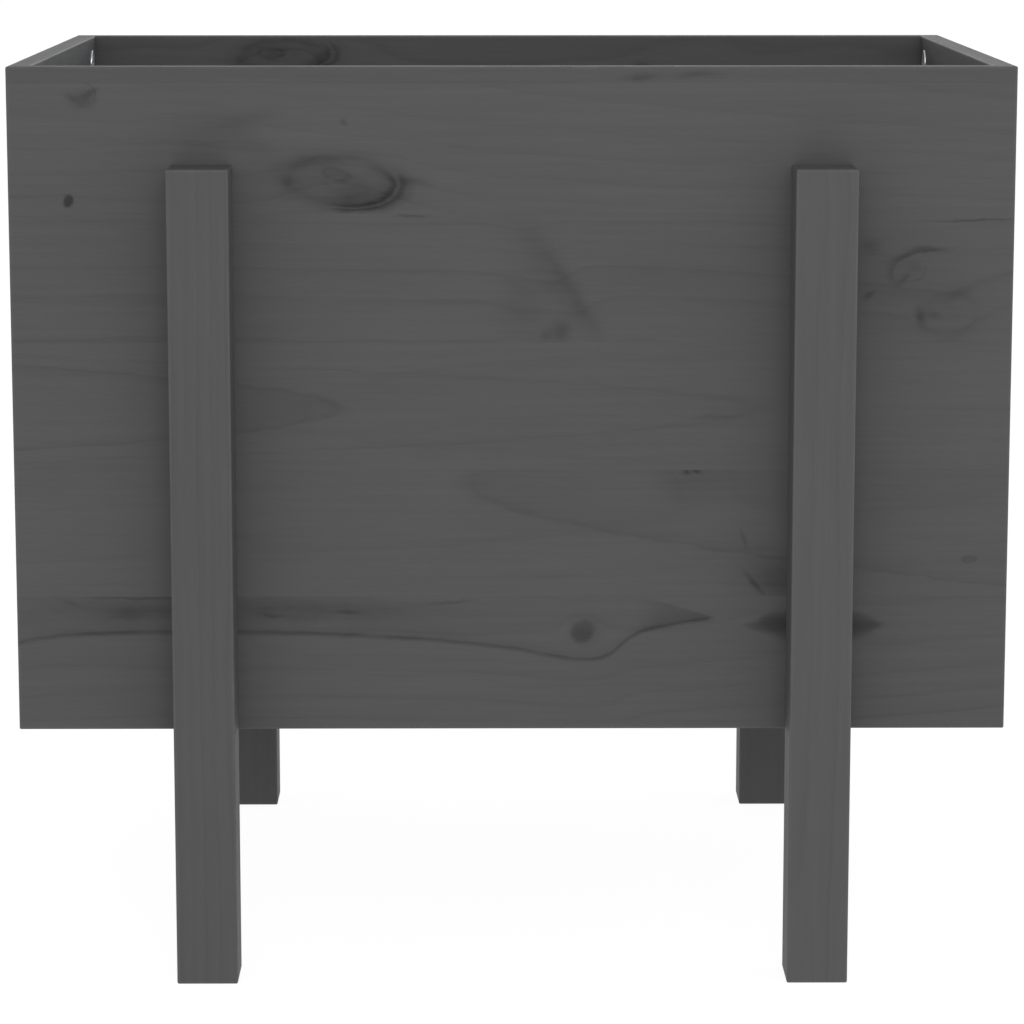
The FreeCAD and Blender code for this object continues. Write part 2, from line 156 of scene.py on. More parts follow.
def curve(field, points):
    """A smooth curve through points, both axes in metres."""
    xs, ys = [x for x, _ in points], [y for _, y in points]
    node = field.tree.nodes.new("ShaderNodeFloatCurve")
    line = node.mapping.curves[0]
    span_x, span_y = max(xs) - min(xs), max(ys) - min(ys)
    scaled = [((x - min(xs)) / span_x, (y - min(ys)) / span_y) for x, y in points]
    for spot, (x, y) in zip((line.points[0], line.points[-1]), (scaled[0], scaled[-1])):
        spot.location = (x, y)
    for x, y in scaled[1:-1]:
        line.points.new(x, y)
    node.mapping.update()
    plug((field - min(xs)) / span_x, node.inputs["Value"])
    return Field(field.tree, node.outputs["Value"]) * span_y + min(ys)


# ---------------------------------------------------------------------------
# Wood
# ---------------------------------------------------------------------------

# A stave is one of the strips that a board is glued up from.  Its rings are cut from a
# log whose pith runs behind the face: `pith` is how far the pith lies above the stave's
# middle, `depth` how far behind the face, and `slope` how fast it falls away along the
# stave, which closes the rings into arches.  Millimetres, except slope, tone and contrast.
Stave = namedtuple("Stave", "pith depth slope tone contrast")

# A mark is a knot, a stain or a dark streak: an ellipse, a pointed lens, or the arch of a
# ring that opens to one side.  Millimetres along and up the board, degrees of turn,
# darkness at full strength, and how far it pushes the rings around it aside.
Mark = namedtuple("Mark", "kind along up length height turn strength swell")

# Colour ramps hold values from 0 to 1, so each setting is stored as a share of its range.
STAVE_RANGES = {
    "pith": (-120.0, 120.0),
    "depth": (0.0, 200.0),
    "slope": (-0.16, 0.16),
    "tone": (0.80, 1.20),
    "contrast": (0.0, 2.0),
}
STAVE_HEIGHT = 80.0     # millimetres
STAVE_SLOTS = 8         # steps that a ramp is divided into; more than any board has staves

# Twice how far a mark's outline strays, in millimetres.
WOBBLE = 3.2

# Darkness across a mark, from its middle (0) past its outline (0.5) to twice its size (1).
MARK_PROFILES = {
    "knot": [(0, 0.95), (0.08, 0.6), (0.3, 0.5), (0.45, 0.85), (0.51, 0.55), (0.62, 0.14),
             (0.85, 0)],
    "whorl": [(0, 0.75), (0.07, 0.34), (0.15, 0.55), (0.24, 0.36), (0.34, 0.42), (0.45, 0.8),
              (0.53, 0.4), (0.66, 0.1), (0.85, 0)],
    "spot": [(0, 1.0), (0.36, 0.92), (0.5, 0.5), (0.6, 0.1), (0.8, 0)],
    "soft": [(0, 1.0), (0.2, 0.85), (0.42, 0.42), (0.62, 0.12), (0.85, 0)],
    "lens": [(0, 1.0), (0.36, 0.85), (0.49, 0.45), (0.56, 0.1), (0.62, 0)],
    "crescent": [(0, 0), (0.38, 0.1), (0.44, 1.0), (0.475, 0.1), (0.51, 0.95), (0.56, 0.3),
                 (0.64, 0)],
    "arc": [(0, 0), (0.45, 0.06), (0.495, 1.0), (0.53, 0.45), (0.58, 0)],
    "arch": [(0, 0), (0.2, 0.22), (0.42, 0.55), (0.49, 1.0), (0.51, 0.6), (0.55, 0.1), (0.6, 0)],
    "arch_line": [(0, 0), (0.4, 0.05), (0.48, 0.3), (0.497, 1.0), (0.52, 0.25), (0.56, 0)],
}

# Colour of the stained wood, from pale earlywood to the heart of a knot.
STAIN = [
    (0.0, (0.0718, 0.0718, 0.0721)),
    (0.25, (0.0534, 0.0534, 0.0537)),
    (0.6, (0.0263, 0.0263, 0.0266)),
    (1.0, (0.0070, 0.0070, 0.0071)),
]

# Colour where the stain has worn off at an edge, which also serves as a painted highlight along
# the edges.
WORN_AND_HIGHLIGHT_COLOUR = (0.116, 0.115, 0.113)

# Darkness across one growth ring, from its pale start to the dark line at its end.
RING_PROFILE = [
    (0, 0.42), (0.03, 0.14), (0.1, 0.0), (0.45, 0.04), (0.8, 0.3), (0.94, 0.85), (0.985, 1.0),
    (1, 0.42),
]

# How much each part of the figure darkens the stain, and how unevenly some do.
PLAIN_DARKNESS = 0.09
RING_DARKNESS = 0.16
STREAK_DARKNESS = 0.13
FIBRE_DARKNESS = 0.07
BLOTCH_DARKNESS = 0.12
SEAM_DARKNESS = 0.05
END_GRAIN_DARKNESS, END_GRAIN_UNEVEN = 0.16, 0.2
MARK_SHARE, MARK_UNEVEN = 0.85, 0.9
PALEST_RING, RING_SPREAD = 0.35, 0.8

# Metres.  The noises run from about -0.5 to 0.5, so what strays goes half as far each way.
SEED_STEP = 3.7         # from one board's place in the noises to the next, for a seed of 1
RIPPLE = 0.0016         # how far small ripples move a ring
STAVE_SHIFT = 0.0173    # how far the rings step from one stave to the next
MARK_STRAY = 0.0045     # how far the points of a mark stray
PITCH_STRAY = 0.0012    # how far the pitch line strays
WEAR_AND_HIGHLIGHT_REACH = (0.0022, 0.0004)   # distances from the edge where the wear and painted highlight start and are full

SEAM_REACH = (0.4965, 0.4995)   # where a seam's dark line starts and is full, in staves
OTHER_STAVE = 9.0       # added to a mark's reach on the staves that it isn't on, to hide it
SWELL_FADE = 0.62       # share of a mark's swell that is left at its outline
WEAR_AND_HIGHLIGHT, WEAR_AND_HIGHLIGHT_UNEVEN = 0.14, 0.5   # share of the worn and painted-highlight colour at an edge
WOOD_ROUGHNESS = 0.66
WOOD_SPECULAR = 0.22
WOOD_RELIEF = (0.55, 0.22 * MM)

# The pitch line and the wedge at its end.  Millimetres, except darkness, slope and bend.
LINE_REACH, LINE_DARKNESS = (2.4, 0.3), 0.25
HAZE_REACH, HAZE_DARKNESS = (9.0, 0.0), 0.13
WEDGE_START, WEDGE_FULL = 56.0, 26.0    # before its tip
WEDGE_SLOPE, WEDGE_DARKNESS = 0.45, 0.24
TIP_FADE = 8.0
GRAIN_BEND = 0.55       # share of the line's rise and fall that the rings below it follow

Grain = namedtuple("Grain", "ragged sway bow ripple streak fibre blotch")


class Board:
    """The layout of one board: how it lies, its staves and what marks it.

    `along` and `across` are the axes of its length and its face, `rings` the spacing of
    its growth rings, `seam` the level of one joint between staves, `pitch` the points of
    a pitch line, and `bow` how far the rings wander.  Millimetres, but bow in metres.
    """

    def __init__(self, node, along, across, rings, seed, staves, marks=(),
                 seam=None, pitch=None, bow=0.013):
        self.node = node
        self.along = along
        self.across = across
        self.through = ({"x", "y", "z"} - {along, across}).pop()
        self.rings = rings
        self.seed = seed
        self.staves = staves
        self.marks = marks
        self.seam = seam
        self.pitch = pitch
        self.bow = bow
        self.low, self.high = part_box(node)


def stave_setting(index, staves, name):
    """One setting of the stave that a point lies on, looked up by the stave's number."""
    low, high = STAVE_RANGES[name]
    stops = []
    for number, stave in enumerate(staves):
        share = (getattr(stave, name) - low) / (high - low)
        stops.append((number / STAVE_SLOTS, share))
    place = (index + 1.5) / STAVE_SLOTS
    node_output = Field(index.tree, ramp(place, stops, constant=True))
    return node_output * (high - low) + low


def mark_distance(mark, face_point, ragged):
    """How far a point is from a mark's middle (1 on its outline), and where in the mark."""
    tree = face_point.tree
    node = tree.nodes.new("ShaderNodeMapping")
    node.vector_type = "TEXTURE"
    plug(face_point, node.inputs["Vector"])
    node.inputs["Location"].default_value = (mark.along * MM, mark.up * MM, 0)
    node.inputs["Rotation"].default_value = (0, 0, math.radians(mark.turn))
    node.inputs["Scale"].default_value = (mark.length * MM, mark.height * MM, 1)
    local = Field(tree, node.outputs[0])
    if mark.kind == "lens":
        lengthways, sideways, _ = split(local)
        reach = calculate("MULTIPLY_ADD", lengthways, lengthways, calculate("ABSOLUTE", sideways))
    elif mark.kind in ("arch", "arch_line"):
        lengthways, sideways, _ = split(local)
        reach = calculate("MULTIPLY_ADD", sideways, sideways, 1 - lengthways)
    else:
        size = tree.nodes.new("ShaderNodeVectorMath")
        size.operation = "LENGTH"
        plug(local, size.inputs[0])
        reach = Field(tree, size.outputs["Value"])
    wobble = min(0.35, WOBBLE / mark.length)
    return calculate("MULTIPLY_ADD", ragged, wobble, reach), local


def crescent_side(local):
    """Keeps a crescent or an arc to the right-hand and lower part of its outline."""
    lengthways, sideways, _ = split(local)
    return (lengthways - sideways * 0.7).between(0.25, 0.95)


def add_marks(board, face_point, index, ragged):
    """The darkness of all marks together, and how far they push the rings aside."""
    darkness, push = 0.0, 0.0
    same_stave = {}
    for mark in board.marks:
        reach, local = mark_distance(mark, face_point, ragged)
        if board.seam is not None:
            number = math.floor((mark.up - board.seam) / STAVE_HEIGHT)
            if number not in same_stave:
                same_stave[number] = calculate("COMPARE", index, float(number), 0.5)
            reach = calculate("MULTIPLY_ADD", 1 - same_stave[number], OTHER_STAVE, reach)
        if mark.strength:
            shade = profile(reach / 2, MARK_PROFILES[mark.kind]) * mark.strength
            if mark.kind in ("crescent", "arc"):
                shade = shade * crescent_side(local)
            darkness = shade + darkness
        if mark.swell:
            hill = calculate("POWER", SWELL_FADE, reach * reach)
            push = calculate("MULTIPLY_ADD", hill, mark.swell * MM, push)
    return darkness, push


def edge_distance(board, place):
    """Metres to the board's nearest edge, for a point on its surface."""
    gaps = []
    for axis, field in place.items():
        low, high = getattr(board.low, axis), getattr(board.high, axis)
        half = (high - low) / 2
        gaps.append(half - calculate("ABSOLUTE", field - (low + high) / 2))
    nearest = calculate("MINIMUM", calculate("MINIMUM", gaps[0], gaps[1]), gaps[2])
    farthest = calculate("MAXIMUM", calculate("MAXIMUM", gaps[0], gaps[1]), gaps[2])
    return gaps[0] + gaps[1] + gaps[2] - nearest - farthest


def pitch_streak(board, along, up, index):
    """A dark pitch line that ends in a wedge, and how the grain bends with it."""
    middle = curve(along, [(x * MM, y * MM) for x, y in board.pitch])
    tip = board.pitch[-1][0] * MM
    rest_level = board.pitch[2][1] * MM
    above = (up - middle) / MM
    before_tip = (tip - along) / MM
    line = calculate("ABSOLUTE", above).between(*LINE_REACH) * LINE_DARKNESS
    haze = above.between(-0.6, 0.6) * above.between(*HAZE_REACH) * HAZE_DARKNESS
    top = before_tip * WEDGE_SLOPE
    wedge = (top - above).between(-0.8, 1.2) * above.between(-0.8, 1.0)
    wedge = wedge * before_tip.between(WEDGE_START, WEDGE_FULL) * WEDGE_DARKNESS
    bend = (middle - rest_level) * GRAIN_BEND * above.between(5.0, -5.0)
    on_stave = calculate("COMPARE", index, 0.0, 0.5)
    within = before_tip.between(0.0, TIP_FADE)
    return (line + haze + wedge) * on_stave * within, bend * on_stave


def find_grain(board, along, up, through):
    """The noises that make up one board's figure, all drawn out along the board."""
    shifted = along + board.seed * SEED_STEP
    return Grain(
        ragged=noise(vector(shifted * 60, up * 110, through * 110), 1.0, detail=3),
        sway=noise(vector(shifted * 75, up * 130, through * 130 + 7.0), 1.0, detail=2),
        bow=noise(vector(shifted * 4.2, up * 10, through * 10), 1.0, detail=2),
        ripple=noise(vector(shifted * 16, up * 55, through * 55), 1.0, detail=1),
        streak=noise(vector(shifted * 9, up * 260, through * 260), 1.0, detail=3, roughness=0.65),
        fibre=noise(vector(shifted * 55, up * 1500, through * 1500), 1.0, detail=1),
        blotch=noise(vector(shifted * 7, up * 17, through * 17), 1.0, detail=3),
    )


def find_stave(board, up):
    """The number of the stave that a point lies on, and how far above its middle."""
    if board.seam is None:
        middle = (getattr(board.low, board.across) + getattr(board.high, board.across)) / 2
        return up * 0, up - middle
    seam, spacing = board.seam * MM, STAVE_HEIGHT * MM
    index = calculate("FLOOR", (up - seam) / spacing)
    return index, up - (index + 0.5) * spacing - seam


def find_rings(board, index, along, from_middle, inside, grain, push):
    """How dark the growth rings are, each a little different from the next."""
    pith = stave_setting(index, board.staves, "pith") * MM
    depth = stave_setting(index, board.staves, "depth") * MM
    slope = stave_setting(index, board.staves, "slope")
    from_pith = from_middle - pith
    behind = calculate("MULTIPLY_ADD", slope, along, depth) + inside
    radius = calculate("SQRT", from_pith * from_pith + behind * behind)
    radius = radius + grain.bow * board.bow + grain.ripple * RIPPLE + push + index * STAVE_SHIFT
    turns = radius / (board.rings * MM)
    each = turns.tree.nodes.new("ShaderNodeTexWhiteNoise")
    each.noise_dimensions = "1D"
    plug(calculate("FLOOR", turns) + board.seed, each.inputs["W"])
    uneven = Field(turns.tree, each.outputs["Value"]) * RING_SPREAD + PALEST_RING
    return profile(calculate("FRACT", turns), RING_PROFILE) * uneven


def wood(board):
    """Stained pine, from the rings, staves, fibres and marks of one board."""
    material = bpy.data.materials.new(f"pine_{board.node}")
    material.use_nodes = True
    tree = material.node_tree
    shader = next(n for n in tree.nodes if n.type == "BSDF_PRINCIPLED")

    coordinates = tree.nodes.new("ShaderNodeTexCoord")
    place = dict(zip("xyz", split(Field(tree, coordinates.outputs["Object"]))))
    normal = dict(zip("xyz", split(Field(tree, coordinates.outputs["Normal"]))))
    along, up, through = place[board.along], place[board.across], place[board.through]
    inside = through - getattr(board.low, board.through)
    grain = find_grain(board, along, up, through)
    index, from_middle = find_stave(board, up)

    face_point = vector(along + grain.ragged * MARK_STRAY, up + grain.sway * MARK_STRAY)
    mark_darkness, push = add_marks(board, face_point, index, grain.ragged)
    if board.pitch:
        streak_darkness, bend = pitch_streak(board, along, up + grain.sway * PITCH_STRAY, index)
        mark_darkness = mark_darkness + streak_darkness
        from_middle = from_middle - bend

    contrast = stave_setting(index, board.staves, "contrast")
    rings = find_rings(board, index, along, from_middle, inside, grain, push)
    darkness = rings * contrast * RING_DARKNESS + PLAIN_DARKNESS
    darkness = darkness + grain.streak * STREAK_DARKNESS + grain.fibre * FIBRE_DARKNESS
    darkness = darkness + grain.blotch * BLOTCH_DARKNESS
    darkness = darkness + mark_darkness * (MARK_SHARE + grain.ragged * MARK_UNEVEN)
    end_grain = calculate("ABSOLUTE", normal[board.along]).between(0.5, 0.9)
    darkness = darkness + end_grain * (END_GRAIN_DARKNESS + grain.ragged * END_GRAIN_UNEVEN)
    if board.seam is not None:
        share = calculate("FRACT", (up - board.seam * MM) / (STAVE_HEIGHT * MM))
        from_seam = calculate("ABSOLUTE", share - 0.5)
        darkness = darkness + from_seam.between(*SEAM_REACH) * SEAM_DARKNESS

    # Lighter edges: worn stain together with a painted highlight along every edge.
    near_edge = edge_distance(board, place).between(*WEAR_AND_HIGHLIGHT_REACH)
    worn_and_highlight = near_edge * (WEAR_AND_HIGHLIGHT + grain.ragged * WEAR_AND_HIGHLIGHT_UNEVEN)
    # Each stave's tone; on the side panels and the rear legs it also carries painted light and
    # shade.
    tone = stave_setting(index, board.staves, "tone")
    stained = ramp(calculate("ADD", darkness, 0.0, clamp=True), STAIN)
    base = blend_colour(tree, "MULTIPLY", 1.0, stained, vector(tone, tone, tone).socket)
    base = blend_colour(tree, "MIX", calculate("ADD", worn_and_highlight, 0.0, clamp=True), base, WORN_AND_HIGHLIGHT_COLOUR)
    tree.links.new(base, shader.inputs["Base Color"])

    roughness = WOOD_ROUGHNESS + grain.streak * 0.18 + end_grain * 0.12 - near_edge * 0.08
    plug(roughness, shader.inputs["Roughness"])
    shader.inputs["Specular IOR Level"].default_value = WOOD_SPECULAR
    add_relief(tree, shader, grain.fibre * 0.5 + grain.streak, *WOOD_RELIEF)
    return material


def add_relief(tree, shader, height, strength, distance):
    """Bumps on a surface: `distance` is how many metres a height of 1 stands proud."""
    relief = tree.nodes.new("ShaderNodeBump")
    relief.inputs["Strength"].default_value = strength
    relief.inputs["Distance"].default_value = distance
    plug(height, relief.inputs["Height"])
    tree.links.new(relief.outputs["Normal"], shader.inputs["Normal"])


def blend_colour(tree, mode, share, first, second):
    """Two colours blended; each is a socket or a plain colour."""
    node = tree.nodes.new("ShaderNodeMix")
    node.data_type = "RGBA"
    node.blend_type = mode
    plug(share, node.inputs["Factor"])
    for item, slot in ((first, node.inputs[6]), (second, node.inputs[7])):
        if isinstance(item, tuple):
            slot.default_value = (*item, 1.0)
        else:
            tree.links.new(item, slot)
    return node.outputs[2]


# ---------------------------------------------------------------------------
# Boards
# ---------------------------------------------------------------------------

PANEL_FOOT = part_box("front_panel")[0].z / MM
FRONT_SEAM = PANEL_FOOT + 5.0

# The front board, stave by stave from its foot to its rim.
FRONT_STAVES = [
    Stave(-20, 152, 0.0, 1.00, 0.7),
    Stave(52, 150, 0.0, 0.985, 0.7),
    Stave(30, 161, 0.012, 1.00, 0.3),
    Stave(0, 152, -0.012, 1.005, 0.4),
    Stave(-70, 162, 0.0, 0.995, 0.6),
    Stave(75, 157, -0.03, 1.015, 0.45),
    Stave(-60, 152, 0.0, 0.93, 0.8),
]

FRONT_MARKS = [
    # Second stave from the rim: the large oval knot, a broken one and a pin knot.
    Mark("whorl", -105, 500, 36, 16.5, -5, 0.30, 9.0),
    Mark("knot", -108, 504, 9, 3.6, -12, 0.22, 0),
    Mark("soft", -94, 489, 22, 7, 6, 0.30, 0),
    Mark("soft", -108, 498, 40, 17, -5, 0.10, 0),
    Mark("soft", -118, 512, 24, 4, 6, 0.16, 0),
    Mark("soft", -139, 500, 5, 4, 0, 0.22, 0),
    Mark("crescent", -105, 500, 37, 17.5, -5, 0.46, 0),
    Mark("soft", -62, 500, 12, 2.8, -4, 0.22, 0),
    Mark("soft", -158, 521, 26, 9, -35, 0.09, 0),
    Mark("soft", -165, 537, 28, 5, 18, 0.08, 0),
    Mark("soft", -263, 549.5, 8, 5, 12, 0.34, 2.0),
    Mark("soft", -258, 554, 5.5, 2.0, 30, 0.30, 0),
    Mark("soft", -270, 551, 5, 2.4, -30, 0.20, 0),
    Mark("arc", -262, 552, 8, 5.5, 75, 0.26, 0),
    Mark("spot", -273, 488, 3.2, 3.2, 0, 0.75, 1.0),
    Mark("soft", -103, 536, 2.6, 1.6, -20, 0.28, 0),
    Mark("soft", -200, 525, 50, 16, 20, 0.05, 4.0),
    # Narrow stave at the rim: two faint scars.
    Mark("soft", 80, 564, 11, 2.6, 4, 0.30, 0),
    Mark("soft", 113, 565, 16, 2.8, 3, 0.26, 0),
    # Third stave: a spike knot near the middle, a swirl of small knots near the right end.
    Mark("soft", -62, 478.4, 11, 0.9, 0, 0.36, 0),
    Mark("soft", 28, 438, 46, 10, -57, 0.17, 3.0),
    Mark("soft", 38, 430, 34, 4.6, -59, 0.13, 0),
    Mark("soft", 8, 426, 16, 27, 8, 0.12, 2.0),
    Mark("soft", 30, 407, 7, 7, 20, 0.34, 0),
    Mark("soft", 21, 404, 4, 4, 0, 0.20, 0),
    Mark("soft", 100, 440, 52, 12, -6, 0.08, 0),
    Mark("whorl", 271, 417, 18, 15, 20, 0.13, 5.0),
    Mark("soft", 238, 438, 44, 26, -10, 0.11, 3.0),
    Mark("arc", 262, 443, 28, 14.5, 180, 0.24, 0),
    Mark("soft", 243, 454.5, 11, 2.2, 24, 0.26, 0),
    Mark("soft", 259, 458, 15, 1.9, 2, 0.26, 0),
    Mark("arc", 247, 444, 8, 7, 0, 0.15, 2.0),
    Mark("soft", 249, 446, 5, 3.4, -30, 0.16, 0),
    Mark("soft", 242, 439, 5.5, 2.6, 40, 0.26, 0),
    Mark("soft", 253, 416, 3.0, 6.0, 12, 0.32, 0),
    Mark("soft", 261, 417, 4.5, 3.0, -20, 0.20, 0),
    Mark("soft", 276, 429, 13, 2.4, 22, 0.12, 0),
    Mark("soft", 221, 460, 8, 6, 0, 0.24, 0),
    Mark("soft", 221, 429, 5, 2.4, 30, 0.30, 0),
    Mark("soft", 284, 475.6, 32, 0.9, 2.2, 0.34, 0),
    # Fourth stave: an arch that points right, inside a wider one.
    Mark("arch", -106, 359, 68, 15.5, 180, 0.17, 0),
    Mark("arch_line", 150, 358, 330, 28, 180, 0.11, 0),
    Mark("soft", 126, 353, 16, 1.4, 2, 0.16, 0),
    # Fifth stave: an arch that points left, half a knot cut by the seam, and a knot by the leg.
    Mark("arch", -28, 312, 110, 31, -2, 0.15, 0),
    Mark("soft", 114, 320, 24, 21, 0, 0.17, 3.0),
    Mark("soft", 109, 318.2, 3.0, 1.7, 0, 0.40, 0),
    Mark("soft", 115.5, 318.8, 2.6, 1.4, 0, 0.40, 0),
    Mark("soft", 158, 257, 30, 17, -20, 0.13, 4.0),
    Mark("soft", 166, 250, 15, 14, 0, 0.26, 0),
    Mark("soft", 152, 247.5, 9.5, 1.9, -50, 0.34, 0),
    Mark("soft", 145, 276.5, 1.6, 5.5, 15, 0.24, 0),
    Mark("knot", 286, 263, 4.2, 2.2, 0, 0.34, 1.0),
    # Sixth stave: smoky heartwood, a round knot, and a black streak behind the right leg.
    Mark("soft", -215, 232, 95, 11, 0, 0.25, 0),
    Mark("soft", -110, 231, 75, 8, -2, 0.22, 0),
    Mark("soft", -228, 239.2, 36, 1.3, 0, 0.26, 0),
    Mark("soft", -238, 228.5, 24, 4.2, 3, 0.20, 0),
    Mark("soft", -276, 236, 14, 1.6, -20, 0.16, 0),
    Mark("soft", -150, 227.6, 10, 1.6, 0, 0.26, 0),
    Mark("soft", -103, 229.8, 9, 1.5, 0, 0.28, 0),
    Mark("soft", -38, 236, 15, 1.4, 6, 0.22, 0),
    Mark("spot", 44, 217, 7.2, 7.2, 0, 0.42, 4.5),
    Mark("soft", 50, 219, 9, 9, 0, 0.10, 0),
    Mark("lens", 190, 221.5, 43, 11.5, 0, 0.56, 2.5),
    Mark("soft", 190, 222.5, 30, 3.5, 0, 0.10, 0),
]

# The pitch line of the sixth stave, from the left end past the round knot to the wedge.
PITCH_LINE = [
    (-310, 210), (-262, 216), (-173, 217), (-89, 214.5), (0, 206.5), (26, 201.5),
    (46, 199.5), (58, 201.5), (67, 207.5), (76, 214.5), (88, 219), (129, 226),
]

BACK_MARKS = [
    Mark("whorl", -163, 556, 33, 12, 3, 0.42, 8.0),
    Mark("knot", -170, 558, 10, 4, 0, 0.3, 0),
    Mark("crescent", -161, 556, 37, 15, 3, 0.38, 0),
    Mark("knot", 96, 545, 9, 6, 0, 0.4, 3.0),
    Mark("spot", 214, 400, 4, 3.4, 0, 0.6, 1.5),
    Mark("whorl", 60, 336, 26, 15, -8, 0.36, 7.0),
    Mark("crescent", 60, 336, 28, 17, 172, 0.42, 0),
    Mark("knot", -236, 334, 11, 8, 15, 0.5, 4.0),
    Mark("lens", -40, 262, 46, 5, 2, 0.4, 2.0),
    Mark("arch", -60, 300, 120, 20, 0, 0.14, 0),
    Mark("knot", 150, 224, 13, 10, -10, 0.5, 4.5),
    Mark("soft", -180, 205, 70, 9, 0, 0.18, 0),
]


# How near an end or an edge of a board a random knot's middle may lie, in millimetres.
END_MARGIN, EDGE_MARGIN = 15, 12


def random_staves(draw, count, steepest=0.08, contrast=0.9):
    """Staves cut from different logs."""
    staves = []
    for _ in range(count):
        pith = draw.uniform(-70, 70)
        depth = draw.uniform(40, 80)
        slope = draw.uniform(-steepest, steepest)
        tone = draw.uniform(0.97, 1.03)
        staves.append(Stave(pith, depth, slope, tone, contrast * draw.uniform(0.8, 1.2)))
    return staves


def random_marks(draw, node, along, across, count):
    """Knots of mixed size, scattered over a board."""
    low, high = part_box(node)
    marks = []
    for _ in range(count):
        kind = draw.choice(["knot", "knot", "whorl", "spot"])
        length = draw.uniform(3, 5) if kind == "spot" else draw.uniform(8, 24)
        height = length * draw.uniform(0.5, 0.8)
        strength = {"knot": 0.45, "whorl": 0.36, "spot": 0.6}[kind]
        start, end = getattr(low, along) / MM, getattr(high, along) / MM
        foot, top = getattr(low, across) / MM, getattr(high, across) / MM
        place = draw.uniform(start + END_MARGIN, end - END_MARGIN)
        level = draw.uniform(foot + EDGE_MARGIN, top - EDGE_MARGIN)
        turn = draw.uniform(-15, 15)
        marks.append(Mark(kind, place, level, length, height, turn, strength, height * 0.4))
    return marks


# Painted light and shade: the left panel is painted a little lighter and the right one darker, so
# their inner walls differ more than the lamps alone make them; the outer faces take the same
# tone.
SIDE_PAINTED_LIGHT_AND_SHADE = {"left_panel": 1.02, "right_panel": 0.86}


def panel_boards():
    """The four walls, whose grain runs around the box."""
    boards = [
        Board("front_panel", "x", "z", 7.0, 0.0, FRONT_STAVES, FRONT_MARKS, FRONT_SEAM,
              PITCH_LINE, bow=0.005),
        Board("back_panel", "x", "z", 5.5, 1.3, random_staves(random.Random(11), 7), BACK_MARKS,
              PANEL_FOOT - 28),
    ]
    for number, (name, tone) in enumerate(SIDE_PAINTED_LIGHT_AND_SHADE.items()):
        draw = random.Random(40 + number)
        # Each side panel's staves are scaled by its tone of painted light and shade.
        staves = [stave._replace(tone=stave.tone * tone) for stave in random_staves(draw, 7)]
        marks = random_marks(draw, name, "y", "z", 8)
        seam = PANEL_FOOT - draw.uniform(10, 70)
        boards.append(Board(name, "y", "z", 5.0, 2.1 + number, staves, marks, seam))
    return boards


# The sticks are sawn from straight wood with little figure, and the rear legs are painted darker:
# painted shade from the box above them.
STRAIGHT_GRAIN = 0.006
QUIET_GRAIN = 0.4
REAR_LEG_PAINTED_SHADE = 0.9


def stick_boards():
    """Legs, cleats and slats: each one piece of wood, with its grain along its length."""
    layouts = [
        ("z", "x", 6.0, 0, 1.0, ["front_left_leg", "front_right_leg"]),
        # The rear legs' tone is painted shade from the box above them.
        ("z", "x", 6.0, 0, REAR_LEG_PAINTED_SHADE, ["rear_left_leg", "rear_right_leg"]),
        ("x", "z", 3.5, 0, 1.0, ["front_cleat", "back_cleat"]),
        ("y", "x", 5.0, 2, 1.0, [f"bottom_slat_{number}" for number in range(1, 7)]),
    ]
    boards = []
    for along, across, rings, knots, tone, names in layouts:
        for name in names:
            draw = random.Random(70 + len(boards))
            if knots:
                stave, = random_staves(draw, 1)
            else:
                stave, = random_staves(draw, 1, STRAIGHT_GRAIN, QUIET_GRAIN)
            staves = [stave._replace(tone=stave.tone * tone)] * 2
            marks = random_marks(draw, name, along, across, knots)
            seed = 5.0 + len(boards)
            boards.append(Board(name, along, across, rings, seed, staves, marks, bow=0.007))
    return boards


# ---------------------------------------------------------------------------
# Metal
# ---------------------------------------------------------------------------


ZINC_RELIEF = (0.3, 0.05 * MM)
ZINC_TINTS = [(0.0, (0.50, 0.51, 0.54)), (0.5, (0.66, 0.67, 0.70)), (1.0, (0.80, 0.80, 0.80))]


def zinc():
    """Bright zinc plate over rolled steel: faint rolling lines, blotches and dulled spots."""
    material = bpy.data.materials.new("zinc_plate")
    material.use_nodes = True
    tree = material.node_tree
    shader = next(n for n in tree.nodes if n.type == "BSDF_PRINCIPLED")
    coordinates = tree.nodes.new("ShaderNodeTexCoord")
    point = Field(tree, coordinates.outputs["Object"])
    blotch = noise(point, 160.0, detail=3)
    x, y, z = split(point)
    rolling = noise(vector(x * 300, y * 300, z * 4500), 1.0, detail=2)
    shade = calculate("ADD", blotch * 0.7 + rolling * 0.35, 0.5, clamp=True)
    tint = ramp(shade, ZINC_TINTS)
    tree.links.new(tint, shader.inputs["Base Color"])
    shader.inputs["Metallic"].default_value = 1.0
    plug(0.34 + blotch * 0.3 + rolling * 0.12, shader.inputs["Roughness"])
    add_relief(tree, shader, rolling + blotch, *ZINC_RELIEF)
    return material


FITTINGS = ("corner_cams", "cam_bolts", "leg_screws", "cleat_screws", "slat_screws")


def dress(node, material):
    """Puts one material in every material slot of a CAD node."""
    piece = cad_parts[node]
    if not piece.material_slots:
        piece.data.materials.append(material)
    for slot in piece.material_slots:
        slot.material = material


# ---------------------------------------------------------------------------
# Stage
# ---------------------------------------------------------------------------

CAMERA_PLACE = Vector((-0.015, -2.574, 0.696))
CAMERA_AIM = Vector((0.0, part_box("front_panel")[0].y, 0.2935))
CAMERA_LENS = 135.0
FLOOR_RADIUS = 60.0
FLOOR_GAP = 0.0002      # below the feet
FLOOR_GREY = 0.08
FLOOR_GLOW = 0.95

# Strength of the white surroundings low down, and how much less of it there is overhead.
SKY_LOW = 1.15
SKY_DIP = 0.45

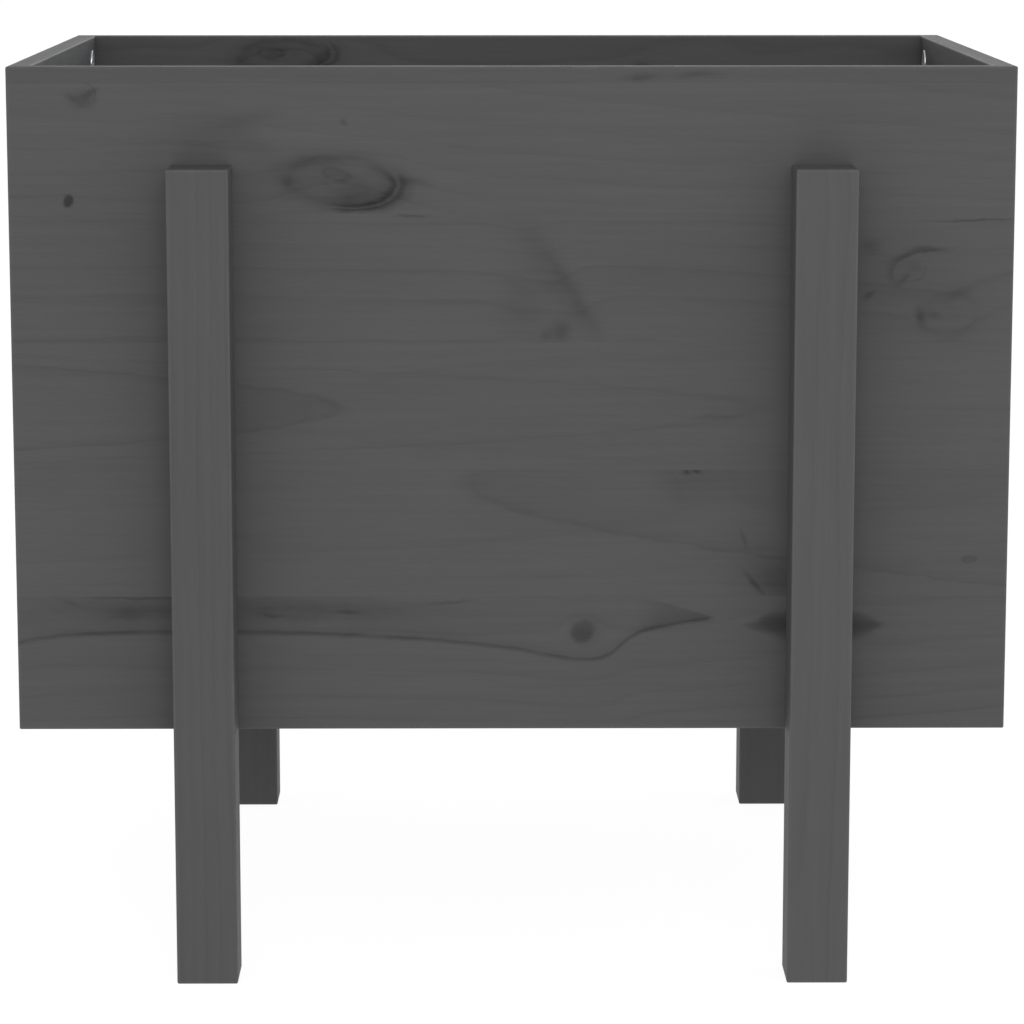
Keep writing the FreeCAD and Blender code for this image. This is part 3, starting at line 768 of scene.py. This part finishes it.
# Each lamp: its place, its aim, its width in metres, its power in watts and its colour.
LAMPS = {
    "side_lamp": ((3.6, 0.0, 1.6), (0, 0, 0.45), 2.4, 27.0, (0.88, 0.98, 1.10)),
    "front_lamp": ((0.2, -4.0, 2.6), (0, 0, 0.35), 2.6, 60.0, (1.0, 1.0, 1.0)),
    "back_lamp": ((0.4, 4.0, 1.8), (0, 0, 0.35), 2.6, 18.0, (1.0, 1.0, 1.0)),
}


def add_camera():
    data = bpy.data.cameras.new("camera")
    data.lens = CAMERA_LENS
    data.sensor_width = 36.0
    data.clip_end = 200.0
    camera = bpy.data.objects.new("camera", data)
    bpy.context.scene.collection.objects.link(camera)
    camera.location = CAMERA_PLACE
    camera.rotation_mode = "QUATERNION"
    camera.rotation_quaternion = (CAMERA_AIM - CAMERA_PLACE).to_track_quat("-Z", "Y")
    bpy.context.scene.camera = camera


def add_floor():
    """A pale floor, washed with light so that it runs into the white surroundings."""
    shape = bmesh.new()
    bmesh.ops.create_circle(shape, cap_ends=True, segments=96, radius=FLOOR_RADIUS)
    mesh = bpy.data.meshes.new("floor")
    shape.to_mesh(mesh)
    shape.free()
    floor = bpy.data.objects.new("floor", mesh)
    bpy.context.scene.collection.objects.link(floor)
    floor.location.z = CAD_LOW.z - FLOOR_GAP
    material = bpy.data.materials.new("floor_paint")
    material.use_nodes = True
    shader = next(n for n in material.node_tree.nodes if n.type == "BSDF_PRINCIPLED")
    shader.inputs["Base Color"].default_value = (FLOOR_GREY, FLOOR_GREY, FLOOR_GREY, 1.0)
    shader.inputs["Roughness"].default_value = 0.9
    shader.inputs["Specular IOR Level"].default_value = 0.0
    shader.inputs["Emission Color"].default_value = (1.0, 1.0, 1.0, 1.0)
    shader.inputs["Emission Strength"].default_value = FLOOR_GLOW
    mesh.materials.append(material)


def add_light(name, place, aim, size, power, colour):
    data = bpy.data.lights.new(name, "AREA")
    data.shape = "DISK"
    data.size = size
    data.energy = power
    data.color = colour
    light = bpy.data.objects.new(name, data)
    bpy.context.scene.collection.objects.link(light)
    light.location = place
    light.rotation_mode = "QUATERNION"
    light.rotation_quaternion = (Vector(aim) - Vector(place)).to_track_quat("-Z", "Y")


def add_surroundings():
    """White surroundings, dimmer overhead, with large soft lamps at the side, front and back."""
    world = bpy.data.worlds.new("studio")
    bpy.context.scene.world = world
    world.use_nodes = True
    background = next(n for n in world.node_tree.nodes if n.type == "BACKGROUND")
    background.inputs["Color"].default_value = (1.0, 1.0, 1.0, 1.0)
    coordinates = world.node_tree.nodes.new("ShaderNodeTexCoord")
    _, _, height = split(Field(world.node_tree, coordinates.outputs["Generated"]))
    plug(SKY_LOW - height.between(0.1, 0.9) * SKY_DIP, background.inputs["Strength"])
    for name, lamp in LAMPS.items():
        add_light(name, *lamp)
    view = bpy.context.scene.view_settings
    view.view_transform = "Standard"
    view.look = "None"
    view.exposure = 0.0
    view.gamma = 1.0


add_camera()
add_floor()
add_surroundings()
for one_board in panel_boards() + stick_boards():
    dress(one_board.node, wood(one_board))
zinc_plate = zinc()
for fitting in FITTINGS:
    dress(fitting, zinc_plate)
